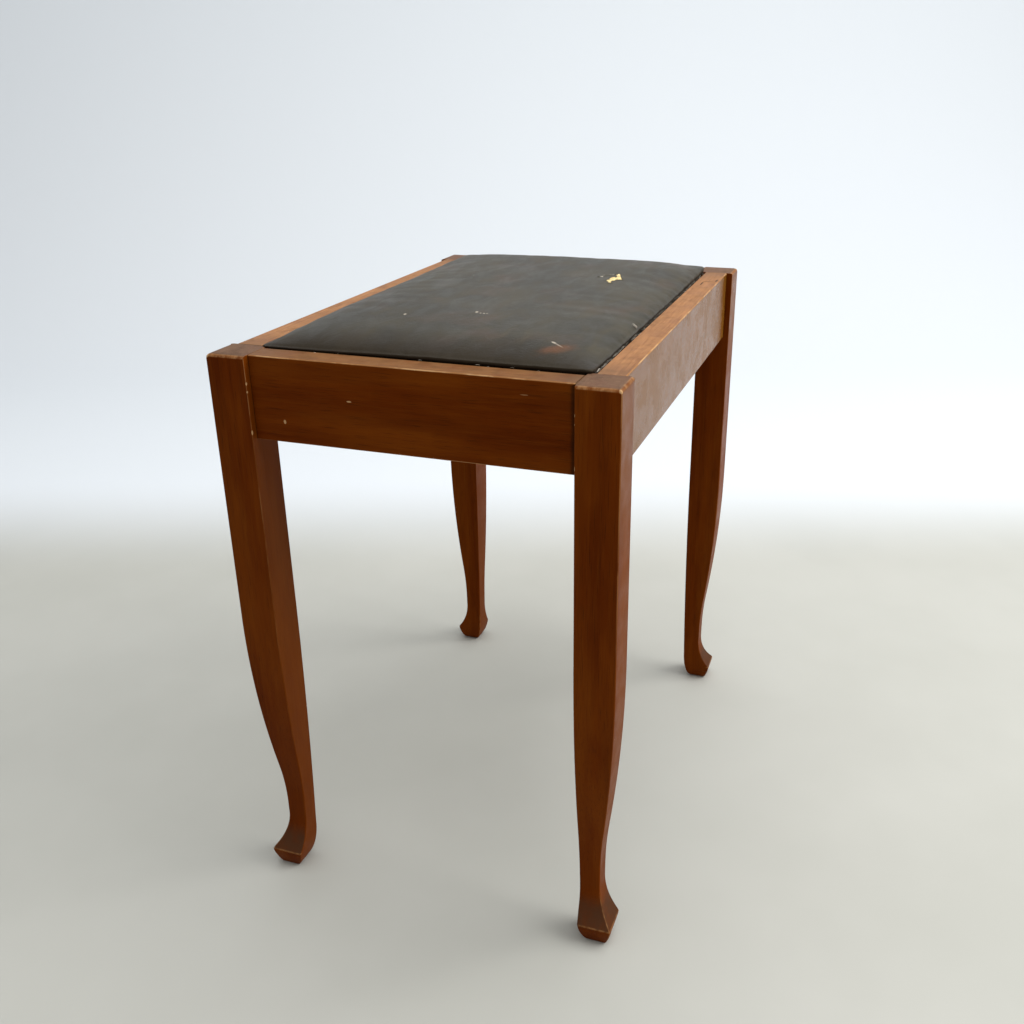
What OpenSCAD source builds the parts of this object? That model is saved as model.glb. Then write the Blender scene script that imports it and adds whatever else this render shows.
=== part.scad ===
// A fixed-height piano bench: four shaped legs, a dowelled apron of four rails, and an
// upholstered drop-in seat that rests on ledge strips and lifts straight out.
// +X runs along the length, -Y is the front, +Z is up, and the origin is on the floor at the centre.

/* [Bench] */
// Length over the legs
bench_length = 534; // [480:2:620]
// Width over the legs
bench_width = 370; // [340:2:440]
// Height of the legs and rails
frame_height = 556; // [440:2:600]

/* [Legs] */
// Width of the square leg
leg_size = 38; // [36:1:44]
// Height at which the outer faces start to curve in
knee_height = 300; // [240:5:340]
// How far the outer faces have curved in at the ankle
ankle_inset = 15; // [8:0.5:17]
// Height of the ankle, the thinnest place
ankle_height = 74; // [66:1:90]
// Height at which the ankle starts to flare to the toe
scoop_height = 60; // [48:1:64]
// Height of the toe's sharp edge
toe_height = 20; // [14:1:26]
// How far the toe's end face slopes in on its way to the floor
toe_undercut = 6; // [3:0.5:8]
// Height at which the heel starts to round under
heel_height = 38; // [28:1:46]

/* [Rails] */
// Depth of the rails
rail_height = 76; // [72:1:90]
// Thickness of the rails
rail_thick = 25; // [22:1:27]
// How far the rails stand back from the outer faces of the legs
rail_inset = 6.5; // [3:0.5:8]
// Width of the ledge strips that the seat rests on
ledge_width = 16; // [14:1:20]
// Depth of the ledge strips
ledge_height = 18; // [16:1:19]
// Length of each corner block along a rail
block_length = 62; // [58:1:80]
// Thickness of the corner blocks
block_height = 30; // [24:1:30]

/* [Seat] */
// Gap between the seat and the rails
seat_gap = 3.5; // [3:0.25:4]
// Rise of the padding above the rails
seat_crown = 16; // [12:1:26]
// How far the seat's underside lies below the tops of the rails
seat_sink = 22; // [22:0.5:24]
// Radius of the seat's corners in plan
seat_corner = 13; // [13:0.5:18]
// Thickness of the leathercloth cover
cover_thick = 1.2; // [0.8:0.1:1.6]
// Width of the wooden members of the seat
member_width = 42; // [38:1:48]
// Thickness of the wooden members of the seat
member_thick = 19; // [16:0.5:19]
// Width of the jute webbing
webbing_width = 50; // [44:1:52]

/* [Hidden] */

// Round pieces are smooth, and two solids that are cut apart overlap by this much
$fn = 48;
eps = 0.5;

// Leg: the knee's curve bends in as far as the shin, where the shin's curve takes over
shin_height = ankle_height + 0.21 * (knee_height - ankle_height);
knee_curve = (knee_height - shin_height) * (knee_height - ankle_height) / (2 * ankle_inset);
shin_curve = (shin_height - ankle_height) * knee_curve / (knee_height - shin_height);
scoop_drop = scoop_height - toe_height;
scoop_radius = (ankle_inset * ankle_inset + scoop_drop * scoop_drop) / (2 * ankle_inset);
heel_taper = 3.5;
sole_end = 0.64 * leg_size;

// Rails: each joint has two dowels, and the two rails at a corner have theirs at different heights
dowel_radius = 4.75;
dowel_in_leg = 22;
dowel_in_rail = 25;
dowel_end_gap = 1;
side_dowel_depths = [15, 45];
end_dowel_depths = [30, 60];
recess_x = bench_length / 2 - rail_inset - rail_thick;
recess_y = bench_width / 2 - rail_inset - rail_thick;
long_rail_length = bench_length - 2 * leg_size;
short_rail_length = bench_width - 2 * leg_size;

// Ledges and corner blocks
seat_z = frame_height - seat_sink;
ledge_screw_length = 30;
block_z = seat_z - ledge_height - 2 - block_height;
block_nose = 14;
block_screw_place = 0.68 * block_length;
block_screw_seat = 16;
block_screw_length = 32;
leg_corner = leg_size - rail_inset - rail_thick;
screw_head_radius = 4;
screw_shank_radius = 2;

// Seat
seat_x = recess_x - seat_gap;
seat_y = recess_y - seat_gap;
member_z = seat_z + cover_thick;
member_top = member_z + member_thick;
member_x = seat_x - cover_thick;
member_y = seat_y - cover_thick;
member_corner_ease = 0.3;
seat_dowel_radius = 4;
seat_dowel_length = 40;
webbing_thick = 1.5;
webbing_end = 12;
webbing_lead = 5;
weave = 0.8;
hessian_z = member_top + webbing_thick + weave + 0.1;
hessian_thick = 0.8;
hessian_inset = 6;
hem_width = 32;
tack_head_radius = 2.6;
tack_head_thick = 0.7;
tack_shank_radius = 0.7;
dome_insets = [0.25, 0.8, 1.8, 3.2, 5, 8, 12, 18, 26, 38, 54, 74, 98, 122];
dome_base = frame_height;

cherry = [0.40, 0.17, 0.07];
pale_wood = [0.76, 0.60, 0.40];
jute = [0.62, 0.50, 0.34];
steel = [0.45, 0.44, 0.42];

// ---- Legs ----

// Distance from the blank's outer face to the leg's outer face at height z
function outer_inset(z) =
    z >= knee_height ? 0
    : z >= shin_height ? pow(knee_height - z, 2) / (2 * knee_curve)
    : z >= ankle_height ? ankle_inset - pow(z - ankle_height, 2) / (2 * shin_curve)
    : z >= scoop_height ? ankle_inset
    : z >= toe_height ? ankle_inset - scoop_radius
        + sqrt(pow(scoop_radius, 2) - pow(scoop_height - z, 2))
    : toe_undercut * pow(1 - z / toe_height, 1.5);

// Distance from the blank's outer face to the leg's inner face at height z, above the heel
function inner_face(z) =
    leg_size - heel_taper * pow(max(0, knee_height - z) / (knee_height - heel_height), 2);

// The leg's outline seen from one side: down the outer face, under the heel and up the inner face
module leg_outline() {
    outer_heights = concat(
        [frame_height],
        [for (i = [0:40]) knee_height + (scoop_height - knee_height) * i / 40],
        [for (i = [1:20]) scoop_height - scoop_drop * i / 20],
        [for (i = [1:8]) toe_height * (1 - i / 8)]
    );
    heel_reach = inner_face(heel_height) - sole_end;
    polygon(concat(
        [for (z = outer_heights) [outer_inset(z), z]],
        [for (a = [90:-6:0]) [sole_end + heel_reach * cos(a), heel_height * (1 - sin(a))]],
        [for (i = [1:12]) let (z = heel_height + (knee_height - heel_height) * i / 12) [inner_face(z), z]],
        [[leg_size, frame_height]]
    ));
}

// A leg with its outer corner on the Z axis, and its inner faces towards +X and +Y
module leg() {
    difference() {
        intersection() {
            translate([0, leg_size, 0]) rotate([90, 0, 0]) linear_extrude(leg_size) leg_outline();
            rotate([90, 0, 90]) linear_extrude(leg_size) leg_outline();
        }
        leg_dowel_holes();
    }
}

module leg_dowel_holes() {
    for (depth = side_dowel_depths)
        translate([leg_size - dowel_in_leg, leg_size / 2, frame_height - depth])
            rotate([0, 90, 0]) cylinder(r = dowel_radius, h = dowel_in_leg + eps);
    for (depth = end_dowel_depths)
        translate([leg_size / 2, leg_size - dowel_in_leg, frame_height - depth])
            rotate([-90, 0, 0]) cylinder(r = dowel_radius, h = dowel_in_leg + eps);
}

// Puts what is drawn around the Z axis at one of the four outer corners, facing inwards
module at_corner(right, back) {
    mirror([right ? 1 : 0, 0, 0])
        mirror([0, back ? 1 : 0, 0])
            translate([-bench_length / 2, -bench_width / 2, 0])
                children();
}

module corner_leg(right, back) {
    color(cherry) at_corner(right, back) leg();
}

// ---- Rails ----

// Half of one rail joint's dowel holes, in a rail that starts at the origin and runs along +X
module rail_dowel_holes(depths) {
    for (depth = depths)
        translate([-eps, rail_thick / 2, rail_height - depth])
            rotate([0, 90, 0]) cylinder(r = dowel_radius, h = dowel_in_rail + eps);
}

// A rail along +X, with its outer face on y = 0 and its lower edge on z = 0
module rail(length, depths) {
    difference() {
        cube([length, rail_thick, rail_height]);
        rail_dowel_holes(depths);
        translate([length, 0, 0]) mirror([1, 0, 0]) rail_dowel_holes(depths);
    }
}

// Puts a side rail's own frame at the front, or at the back when mirrored
module at_front(back) {
    mirror([0, back ? 1 : 0, 0])
        translate([-long_rail_length / 2, -bench_width / 2 + rail_inset, frame_height - rail_height])
            children();
}

// Puts an end rail's own frame at the left end, or at the right end when mirrored
module at_end(right) {
    mirror([right ? 1 : 0, 0, 0])
        translate([-bench_length / 2 + rail_inset, short_rail_length / 2, frame_height - rail_height])
            rotate([0, 0, -90])
                children();
}

module side_rail(back) {
    color(cherry) difference() {
        at_front(back) rail(long_rail_length, side_dowel_depths);
        ledge_screw_set();
        corner_block_screw_set();
    }
}

module end_rail(right) {
    color(cherry) difference() {
        at_end(right) rail(short_rail_length, end_dowel_depths);
        ledge_screw_set();
        corner_block_screw_set();
    }
}

// The dowels stop a little short of both ends of their holes, where the spare glue goes
module rail_dowels() {
    dowel_length = dowel_in_leg + dowel_in_rail - 2 * dowel_end_gap;
    color(pale_wood)
        for (right = [false, true], back = [false, true])
            at_corner(right, back) {
                for (depth = side_dowel_depths)
                    translate([leg_size - dowel_in_leg + dowel_end_gap, leg_size / 2, frame_height - depth])
                        rotate([0, 90, 0]) cylinder(r = dowel_radius, h = dowel_length);
                for (depth = end_dowel_depths)
                    translate([leg_size / 2, leg_size - dowel_in_leg + dowel_end_gap, frame_height - depth])
                        rotate([-90, 0, 0]) cylinder(r = dowel_radius, h = dowel_length);
            }
}

// ---- Ledges ----

// A countersunk wood screw along +Z, with the top of its head at the origin
module wood_screw(length) {
    translate([0, 0, -length]) cylinder(r1 = 0.4, r2 = screw_shank_radius, h = 5);
    translate([0, 0, -length + 5]) cylinder(r = screw_shank_radius, h = length - 7.4);
    translate([0, 0, -2.4]) cylinder(r1 = screw_shank_radius, r2 = screw_head_radius, h = 2.4);
}

// The slot of a screw's head
module screw_slot() {
    translate([-screw_head_radius - 1, -0.5, -1]) cube([2 * screw_head_radius + 2, 1, 2]);
}

module slotted_screw(length) {
    difference() {
        wood_screw(length);
        screw_slot();
    }
}

// Places of the screws along a ledge of this length
function ledge_places(length, count) = [for (i = [0:count - 1]) length * ((i + 0.5) / count - 0.5)];

// Puts each ledge screw in its place, with the top of its head in the ledge's inner face
module at_ledge_screws() {
    screw_z = seat_z - ledge_height / 2;
    for (back = [false, true], x = ledge_places(long_rail_length, 4))
        mirror([0, back ? 1 : 0, 0])
            translate([x, -recess_y + ledge_width, screw_z]) rotate([-90, 0, 0]) children();
    for (right = [false, true], y = ledge_places(2 * recess_y - 2 * ledge_width, 3))
        mirror([right ? 1 : 0, 0, 0])
            translate([-recess_x + ledge_width, y, screw_z]) rotate([0, 90, 0]) children();
}

module ledge_screw_set() {
    at_ledge_screws() wood_screw(ledge_screw_length);
}

module ledge_screws() {
    color(steel) at_ledge_screws() slotted_screw(ledge_screw_length);
}

module side_ledge(back) {
    color(pale_wood) difference() {
        mirror([0, back ? 1 : 0, 0])
            translate([-long_rail_length / 2, -recess_y, seat_z - ledge_height])
                cube([long_rail_length, ledge_width, ledge_height]);
        ledge_screw_set();
    }
}

module end_ledge(right) {
    ledge_length = 2 * recess_y - 2 * ledge_width;
    color(pale_wood) difference() {
        mirror([right ? 1 : 0, 0, 0])
            translate([-recess_x, -ledge_length / 2, seat_z - ledge_height])
                cube([ledge_width, ledge_length, ledge_height]);
        ledge_screw_set();
    }
}

// ---- Corner blocks ----

// Puts what is drawn around the Z axis in one inner corner of the rails
module at_recess_corner(right, back) {
    mirror([right ? 1 : 0, 0, 0])
        mirror([0, back ? 1 : 0, 0])
            translate([-recess_x, -recess_y, block_z])
                children();
}

// Turns what is drawn for the side rail to the end rail as well
module on_both_rails() {
    children();
    mirror([1, -1, 0]) children();
}

// Both screws of one block: each goes square into a rail from the bottom of a wider hole
module at_block_screws() {
    on_both_rails()
        translate([block_screw_place, block_screw_seat, block_height / 2])
            rotate([-90, 0, 0])
                children();
}

module corner_block_screw_set() {
    for (right = [false, true], back = [false, true])
        at_recess_corner(right, back) at_block_screws() wood_screw(block_screw_length);
}

module corner_block_screws() {
    color(steel)
        for (right = [false, true], back = [false, true])
            at_recess_corner(right, back) at_block_screws() slotted_screw(block_screw_length);
}

// A triangular block, notched around the leg's inner corner
module corner_block(right, back) {
    color(pale_wood) at_recess_corner(right, back)
        difference() {
            linear_extrude(block_height) difference() {
                polygon([
                    [0, 0], [block_length, 0], [block_length, block_nose],
                    [block_nose, block_length], [0, block_length]
                ]);
                translate([-1, -1]) square(leg_corner + 1);
            }
            at_block_screws() {
                wood_screw(block_screw_length);
                cylinder(r = screw_head_radius + 1, h = block_length);
            }
        }
}

// ---- Seat frame ----

// The seat's outline in plan, this far inside its edge. Its corners can be eased a little more.
module seat_outline(inset, ease = 0) {
    radius = seat_corner - inset + ease;
    x = seat_x - inset;
    y = seat_y - inset;
    square([2 * (x - radius), 2 * y], center = true);
    square([2 * x, 2 * (y - radius)], center = true);
    for (i = [-1, 1], j = [-1, 1])
        translate([i * (x - radius), j * (y - radius)]) circle(r = radius);
}

// A long member, with its outer corners rounded a little more than the cover that goes round them
module side_member(back) {
    color(pale_wood) difference() {
        intersection() {
            mirror([0, back ? 1 : 0, 0])
                translate([-member_x, -member_y, member_z])
                    cube([2 * member_x, member_width, member_thick]);
            translate([0, 0, member_z - eps])
                linear_extrude(member_thick + 2 * eps)
                    seat_outline(cover_thick, member_corner_ease);
        }
        seat_member_dowel_set(0);
    }
}

module end_member(right) {
    member_length = 2 * (member_y - member_width);
    color(pale_wood) difference() {
        mirror([right ? 1 : 0, 0, 0])
            translate([-member_x, -member_length / 2, member_z])
                cube([member_width, member_length, member_thick]);
        seat_member_dowel_set(0);
    }
}

// Two dowels at each corner of the seat frame, shorter than their holes by gap at both ends
module seat_member_dowel_set(gap) {
    for (i = [-1, 1], j = [-1, 1], place = [0.3, 0.72])
        translate([
            i * (member_x - place * member_width),
            j * (member_y - member_width) - seat_dowel_length / 2 + gap,
            member_z + member_thick / 2
        ])
            rotate([-90, 0, 0]) cylinder(r = seat_dowel_radius, h = seat_dowel_length - 2 * gap);
}

module seat_member_dowels() {
    color(pale_wood) seat_member_dowel_set(dowel_end_gap);
}

// ---- Webbing and hessian ----

// Where the two long strips and the four cross strips lie
long_places = [for (i = [-1, 1]) i * (member_y - member_width) / 3];
cross_places = [for (i = [-1.5, -0.5, 0.5, 1.5]) i * 2 * (member_x - member_width) / 5];

// Height of a strip's middle above the place where it is tacked: it is flat over each crossing,
// and eases between them. Each crossing is [place, side], with side 1 on top and -1 below.
function ease(t) = (1 - cos(180 * t)) / 2;
function strip_rise(s, stations, i = 0) =
    i >= len(stations) - 1 ? 0
    : s > stations[i + 1][0] ? strip_rise(s, stations, i + 1)
    : let (a = stations[i], b = stations[i + 1], t = (s - a[0]) / (b[0] - a[0]))
        weave * (a[1] + (b[1] - a[1]) * ease(t));

// The two ends of each crossing, between the places where the strip stops being level
function strip_stations(half_free, crossings) = concat(
    [[-half_free, 0]],
    [for (c = crossings, k = [-0.5, 0.5]) [c[0] + k * (webbing_width + 2), c[1]]],
    [[half_free, 0]]
);

// One strip along +X, centred on the origin. It lies on the tops of the seat members, and stays
// level a little way past their inner edges.
module webbing_strip(half_length, half_opening, crossings) {
    half_free = half_opening - webbing_lead;
    stations = strip_stations(half_free, crossings);
    steps = 96;
    places = [for (i = [0:steps]) half_length * (2 * i / steps - 1)];
    rises = [for (s = places) abs(s) >= half_free ? 0 : strip_rise(s, stations)];
    translate([0, webbing_width / 2, member_top])
        rotate([90, 0, 0])
            linear_extrude(webbing_width)
                polygon(concat(
                    [for (i = [0:steps]) [places[i], rises[i]]],
                    [for (i = [steps:-1:0]) [places[i], rises[i] + webbing_thick]]
                ));
}

module webbing_long(row) {
    crossings = [for (i = [0:3]) [cross_places[i], (i + row) % 2 == 0 ? 1 : -1]];
    color(jute) translate([0, long_places[row], 0])
        webbing_strip(member_x - webbing_end, member_x - member_width, crossings);
}

module webbing_cross(column) {
    crossings = [for (row = [0, 1]) [long_places[row], (column + row) % 2 == 0 ? -1 : 1]];
    color(jute) translate([cross_places[column], 0, 0]) rotate([0, 0, 90])
        webbing_strip(member_y - webbing_end, member_y - member_width, crossings);
}

// A tack that points down, with the underside of its head at the origin
module tack(length) {
    cylinder(r = tack_head_radius, h = tack_head_thick);
    translate([0, 0, -length + 3]) cylinder(r = tack_shank_radius, h = length - 3);
    translate([0, 0, -length]) cylinder(r1 = 0.15, r2 = tack_shank_radius, h = 3);
}

// Five tacks in two staggered rows on the end of a strip that points along +X
module strip_end_tacks() {
    for (k = [-1, 0, 1]) translate([-7, k * webbing_width * 0.38, 0]) tack(12);
    for (k = [-0.5, 0.5]) translate([-15, k * webbing_width * 0.38, 0]) tack(12);
}

module webbing_tacks() {
    color(steel) translate([0, 0, member_top + webbing_thick])
        for (side = [0, 180]) {
            for (y = long_places)
                rotate([0, 0, side]) translate([member_x - webbing_end, y, 0]) strip_end_tacks();
            for (x = cross_places)
                rotate([0, 0, side + 90]) translate([member_y - webbing_end, x, 0]) strip_end_tacks();
        }
}

module hessian() {
    color([0.66, 0.56, 0.40])
        translate([0, 0, hessian_z]) linear_extrude(hessian_thick) seat_outline(hessian_inset);
}

// Puts a row of tacks along each side of the seat, this far inside its edge
module along_edges(inset, long_count, short_count) {
    reach_x = seat_x - inset;
    reach_y = seat_y - inset;
    for (side = [0, 180]) rotate([0, 0, side]) {
        for (i = [0:long_count - 1])
            translate([reach_x * (2 * i / (long_count - 1) - 1) * 0.93, -reach_y, 0]) children();
        for (i = [0:short_count - 1])
            translate([-reach_x, reach_y * (2 * i / (short_count - 1) - 1) * 0.86, 0]) children();
    }
}

module hessian_tacks() {
    color(steel) translate([0, 0, hessian_z + hessian_thick])
        along_edges(hessian_inset + 4, 10, 7) tack(11);
}

// ---- Padding and cover ----

// Share of the crown reached this far in from the edge: a rolled edge and a nearly level top
function dome_rise(inset) = pow(1 - pow(max(0, 1 - inset / seat_y), 5), 0.4);

// One level outline of the padding: a rectangle with round corners, anticlockwise
function ring(x, y, radius, z) = [
    for (q = [0:3], a = [0:10:90])
        let (i = (q == 0 || q == 3) ? 1 : -1, j = q < 2 ? 1 : -1, turn = 90 * q + a)
            [i * (x - radius) + radius * cos(turn), j * (y - radius) + radius * sin(turn), z]
];

// The padding's outer shape, shrunk by inset, from height low to its domed top
module dome(inset, low) {
    side = [low, dome_base];
    rings = concat(
        [for (z = side) ring(seat_x - inset, seat_y - inset, seat_corner - inset, z)],
        [for (d = dome_insets)
            ring(seat_x - inset - d, seat_y - inset - d, seat_corner - inset + 0.06 * d,
                dome_base + (seat_crown - inset) * dome_rise(d))]
    );
    n = len(rings[0]);
    last = len(rings) - 1;
    polyhedron(
        points = [for (r = rings, p = r) p],
        faces = concat(
            [[for (i = [0:n - 1]) i]],
            [for (k = [0:last - 1], i = [0:n - 1])
                let (a = k * n + i, b = k * n + (i + 1) % n) [a, a + n, b + n, b]],
            [[for (i = [n - 1:-1:0]) last * n + i]]
        ),
        convexity = 4
    );
}

// The stuffing fills the cover above the seat frame, around and over the hessian
module stuffing() {
    color([0.86, 0.76, 0.42]) difference() {
        dome(cover_thick, member_top);
        translate([0, 0, member_top - eps])
            linear_extrude(hessian_z + hessian_thick - member_top + eps) seat_outline(hessian_inset);
    }
}

// The cover goes over the stuffing, down the sides and under the seat members
module seat_cover() {
    color([0.23, 0.19, 0.16]) difference() {
        dome(0, seat_z);
        dome(cover_thick, member_z);
        translate([0, 0, seat_z - eps])
            linear_extrude(cover_thick + 2 * eps)
                square([2 * (seat_x - hem_width), 2 * (seat_y - hem_width)], center = true);
    }
}

module cover_tacks() {
    color(steel) translate([0, 0, seat_z]) mirror([0, 0, 1])
        along_edges(hem_width - 8, 14, 9) tack(12);
}

corner_leg(false, false);  // leg_front_left
corner_leg(true, false);  // leg_front_right
corner_leg(false, true);  // leg_back_left
corner_leg(true, true);  // leg_back_right
side_rail(false);  // rail_front
side_rail(true);  // rail_back
end_rail(false);  // rail_left
end_rail(true);  // rail_right
rail_dowels();
side_ledge(false);  // ledge_front
side_ledge(true);  // ledge_back
end_ledge(false);  // ledge_left
end_ledge(true);  // ledge_right
ledge_screws();
corner_block(false, false);  // corner_block_front_left
corner_block(true, false);  // corner_block_front_right
corner_block(false, true);  // corner_block_back_left
corner_block(true, true);  // corner_block_back_right
corner_block_screws();
side_member(false);  // seat_member_front
side_member(true);  // seat_member_back
end_member(false);  // seat_member_left
end_member(true);  // seat_member_right
seat_member_dowels();
webbing_long(0);  // webbing_long_front
webbing_long(1);  // webbing_long_back
webbing_cross(0);  // webbing_cross_1
webbing_cross(1);  // webbing_cross_2
webbing_cross(2);  // webbing_cross_3
webbing_cross(3);  // webbing_cross_4
webbing_tacks();
hessian();
hessian_tacks();
stuffing();
seat_cover();
cover_tacks();
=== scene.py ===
"""Piano bench: varnished wood frame with a drop-in leathercloth seat that lifts out."""
import math
import random

import bmesh
import bpy
import numpy as np
from mathutils import Euler, Matrix, Vector, noise


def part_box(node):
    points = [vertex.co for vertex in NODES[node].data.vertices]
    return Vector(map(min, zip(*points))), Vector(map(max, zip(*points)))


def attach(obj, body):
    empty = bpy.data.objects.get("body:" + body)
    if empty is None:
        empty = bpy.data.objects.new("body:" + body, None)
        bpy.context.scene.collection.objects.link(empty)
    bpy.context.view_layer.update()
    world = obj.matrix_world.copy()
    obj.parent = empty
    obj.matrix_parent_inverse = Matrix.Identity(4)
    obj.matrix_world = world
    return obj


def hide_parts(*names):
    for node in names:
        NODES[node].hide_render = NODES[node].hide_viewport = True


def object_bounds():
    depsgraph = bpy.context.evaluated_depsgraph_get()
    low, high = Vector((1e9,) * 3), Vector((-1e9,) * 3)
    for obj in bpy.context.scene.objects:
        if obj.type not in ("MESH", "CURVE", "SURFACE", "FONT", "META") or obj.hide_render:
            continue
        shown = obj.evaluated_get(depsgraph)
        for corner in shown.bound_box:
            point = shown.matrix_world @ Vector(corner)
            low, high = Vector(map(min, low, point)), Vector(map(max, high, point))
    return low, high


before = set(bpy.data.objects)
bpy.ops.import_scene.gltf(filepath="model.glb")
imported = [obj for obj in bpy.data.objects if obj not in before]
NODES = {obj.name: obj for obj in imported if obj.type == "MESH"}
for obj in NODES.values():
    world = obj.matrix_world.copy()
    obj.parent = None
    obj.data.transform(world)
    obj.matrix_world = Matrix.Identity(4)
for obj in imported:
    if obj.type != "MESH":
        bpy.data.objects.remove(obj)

cad_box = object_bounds()
scene = bpy.context.scene
MM = 0.001

# Places that everything else is worked out from
FLOOR_Z = cad_box[0].z
FRONT_Y = cad_box[0].y
HALF_LENGTH, HALF_WIDTH = cad_box[1].x, cad_box[1].y
TOE_HEIGHT = 20 * MM
RAIL_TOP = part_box("rail_front")[1].z
COVER_LOW, COVER_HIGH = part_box("seat_cover")
SEAT_X, SEAT_Y = COVER_HIGH.x, COVER_HIGH.y
SEAT_BOTTOM = COVER_LOW.z
CROWN = COVER_HIGH.z - RAIL_TOP
SEAT_CORNER = 13 * MM
COVER_THICK = 1.2 * MM


# ---- Small tools ----

def link(name, data):
    made = bpy.data.objects.new(name, data)
    scene.collection.objects.link(made)
    return made


def new_piece(mesh, material):
    """Links a mesh as a piece of the seat that takes its finish from a slot."""
    piece = link(mesh.name, mesh)
    mesh.materials.append(material)
    smooth(mesh)
    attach(piece, "seat")
    return piece


def smooth(mesh):
    for polygon in mesh.polygons:
        polygon.use_smooth = True


def thicken(piece, thickness):
    """Gives a single surface its thickness, inward from where it is."""
    shell = piece.modifiers.new("thickness", "SOLIDIFY")
    shell.thickness = thickness
    shell.offset = -1


def mesh_from(name, points, faces):
    mesh = bpy.data.meshes.new(name)
    mesh.from_pydata([tuple(p) for p in points], [], faces)
    mesh.validate()
    mesh.update()
    return mesh


def smoothstep(low, high, value):
    t = min(1.0, max(0.0, (value - low) / (high - low)))
    return t * t * (3 - 2 * t)


def wobble(x, y, z, scale):
    """Smooth noise from -1 to 1 whose lumps are about 1 / scale metres across."""
    return noise.noise(Vector((x * scale, y * scale, z * scale)))


def shade(colour, share):
    """The colour made darker, or lighter where share is over 1."""
    return tuple(share * c for c in colour)


class Graph:
    """A material's node tree, built by calls that return output sockets."""

    def __init__(self, name):
        self.material = bpy.data.materials.new(name)
        self.material.use_nodes = True
        self.tree = self.material.node_tree
        self.tree.nodes.clear()
        self.shader = self.tree.nodes.new("ShaderNodeBsdfPrincipled")
        output = self.tree.nodes.new("ShaderNodeOutputMaterial")
        self.tree.links.new(self.shader.outputs[0], output.inputs[0])
        self.position = self.node("ShaderNodeTexCoord").outputs["Object"]
        self.normal = self.node("ShaderNodeNewGeometry").outputs["Normal"]

    def feed(self, socket, value):
        if isinstance(value, bpy.types.NodeSocket):
            self.tree.links.new(value, socket)
        elif socket.type == "RGBA":
            socket.default_value = (*value[:3], 1.0)
        else:
            socket.default_value = value

    def node(self, kind, inputs=None, **settings):
        made = self.tree.nodes.new(kind)
        for key, value in settings.items():
            setattr(made, key, value)
        for key, value in (inputs or {}).items():
            self.feed(made.inputs[key], value)
        return made

    def math(self, operation, a, b=0.0):
        return self.node("ShaderNodeMath", {0: a, 1: b}, operation=operation).outputs[0]

    def times(self, a, b):
        return self.math("MULTIPLY", a, b)

    def plus(self, a, b):
        return self.math("ADD", a, b)

    def minus(self, a, b):
        return self.math("SUBTRACT", a, b)

    def most(self, a, b):
        return self.math("MAXIMUM", a, b)

    def gap(self, a, b):
        """How far apart two values are."""
        return self.math("ABSOLUTE", self.minus(a, b))

    def vector(self, operation, a, b):
        made = self.node("ShaderNodeVectorMath", {0: a, 1: b}, operation=operation)
        return made.outputs["Value" if operation in ("DOT_PRODUCT", "LENGTH") else "Vector"]

    def stretched(self, vector, axis, share, others=1.0):
        """The vector scaled by share along an axis, which draws a texture out that way."""
        scale = [others] * 3
        scale[axis] = share
        return self.vector("MULTIPLY", vector, tuple(scale))

    def part(self, vector, axis):
        return self.node("ShaderNodeSeparateXYZ", {0: vector}).outputs[axis]

    def noise(self, vector, scale, detail=2.0, rough=0.5, distortion=0.0):
        inputs = {"Vector": vector, "Scale": scale, "Detail": detail, "Roughness": rough,
                  "Distortion": distortion}
        return self.node("ShaderNodeTexNoise", inputs).outputs[0]

    def cells(self, vector, scale, feature="F1"):
        inputs = {"Vector": vector, "Scale": scale}
        return self.node("ShaderNodeTexVoronoi", inputs, feature=feature).outputs["Distance"]

    def ramp(self, value, low, high, start=0.0, end=1.0):
        inputs = {"Value": value, "From Min": low, "From Max": high, "To Min": start, "To Max": end}
        made = self.node("ShaderNodeMapRange", inputs, interpolation_type="SMOOTHSTEP")
        return made.outputs[0]

    def mix(self, factor, a, b):
        return self.node("ShaderNodeMix", {0: factor, 6: a, 7: b}, data_type="RGBA").outputs[2]

    def bump(self, height, distance, strength):
        inputs = {"Height": height, "Distance": distance, "Strength": strength}
        return self.node("ShaderNodeBump", inputs).outputs[0]

    def spot(self, centre, radii, ragged=0.35, ragged_scale=400.0, soft=0.2, turn=0.0):
        """1 inside a ragged ellipsoid round centre, 0 outside it. turn is about Z, in degrees."""
        away = self.vector("SUBTRACT", self.position, tuple(centre))
        if turn:
            spun = self.node("ShaderNodeVectorRotate", {"Vector": away,
                             "Angle": math.radians(-turn)}, rotation_type="Z_AXIS")
            away = spun.outputs[0]
        away = self.vector("DIVIDE", away, tuple(radii))
        length = self.vector("LENGTH", away, (0, 0, 0))
        rough = self.times(self.noise(self.position, ragged_scale, 3), ragged * 2)
        return self.ramp(self.plus(length, rough), 1 + ragged + soft, 1 + ragged - soft)

    def set(self, **inputs):
        for key, value in inputs.items():
            self.feed(self.shader.inputs[key.replace("_", " ")], value)


# ---- Materials ----

EDGE_RISE = 3.4 * MM

# Places on the seat and sizes, in millimetres, of pale specks on the leathercloth
PALE_SPECKS = ((-119.1, -7.1, 2.0), (-122.0, -12.0, 1.1), (-121.9, -15.4, 1.3),
               (-121.5, -18.2, 1.0), (-143.6, 53.8, 1.8), (93.8, -75.2, 1.6), (97.4, -77.8, 1.5),
               (79.5, -69.4, 2.4), (87.4, -70.2, 1.2), (48.0, 65.0, 0.8), (-30.0, 104.0, 0.7))

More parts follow.
